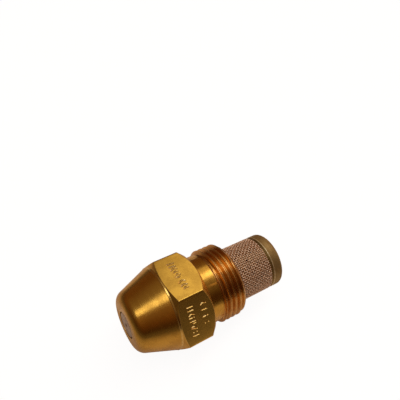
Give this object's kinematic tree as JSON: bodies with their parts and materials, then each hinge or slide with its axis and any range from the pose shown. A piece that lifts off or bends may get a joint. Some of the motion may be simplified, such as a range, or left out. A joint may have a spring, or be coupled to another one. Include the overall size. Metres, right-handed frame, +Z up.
{
  "type": "oil burner nozzle",
  "caption": "Brass oil burner nozzle with a conical nose, hexagon, threaded end and a wire-mesh strainer, spraying fuel oil from an orifice in its front face.",
  "frame": {"origin": "on the axis, at the rear sealing face at the end of the mounting thread", "axes": "+Y along the axis from the nose towards the strainer, so the nozzle sprays towards -Y; +Z up, with hexagon flats facing +Z and -Z and hexagon corners on the X axis"},
  "size_m": [0.0184, 0.0312, 0.016],
  "materials": {
    "body_brass": "satin, turned",
    "cap_brass": "satin, turned",
    "inner_brass": "turned",
    "mesh_wire": "woven wire",
    "insert_steel": "ground"
  },
  "bodies": {
    "nozzle": {"nozzle_body": "body_brass", "orifice_disc": "insert_steel"},
    "distributor": {"swirl_distributor": "insert_steel"},
    "locking_screw": {"locking_screw": "inner_brass"},
    "strainer": {"strainer_stem": "inner_brass", "support_core": "inner_brass", "mesh_ferrule": "inner_brass", "mesh_sleeve": "mesh_wire", "end_cap": "cap_brass"}
  },
  "joints": [
    {"name": "strainer_pull", "type": "slide", "parent": "nozzle", "child": "strainer", "axis": [0, 1, 0], "range_m": [0, 0.012]},
    {"name": "distributor_travel", "type": "slide", "parent": "nozzle", "child": "distributor", "axis": [0, 1, 0], "range_m": [0, 0.0015]},
    {"name": "screw_turn", "type": "hinge", "parent": "distributor", "child": "locking_screw", "pos_m": [0, -0.0082, 0], "axis": [0, 1, 0], "range_deg": [0, 720.5]}
  ],
  "couplings": [
    {"joint": "screw_turn", "follows": "distributor_travel", "rad_per_m": 8377.6}
  ]
}
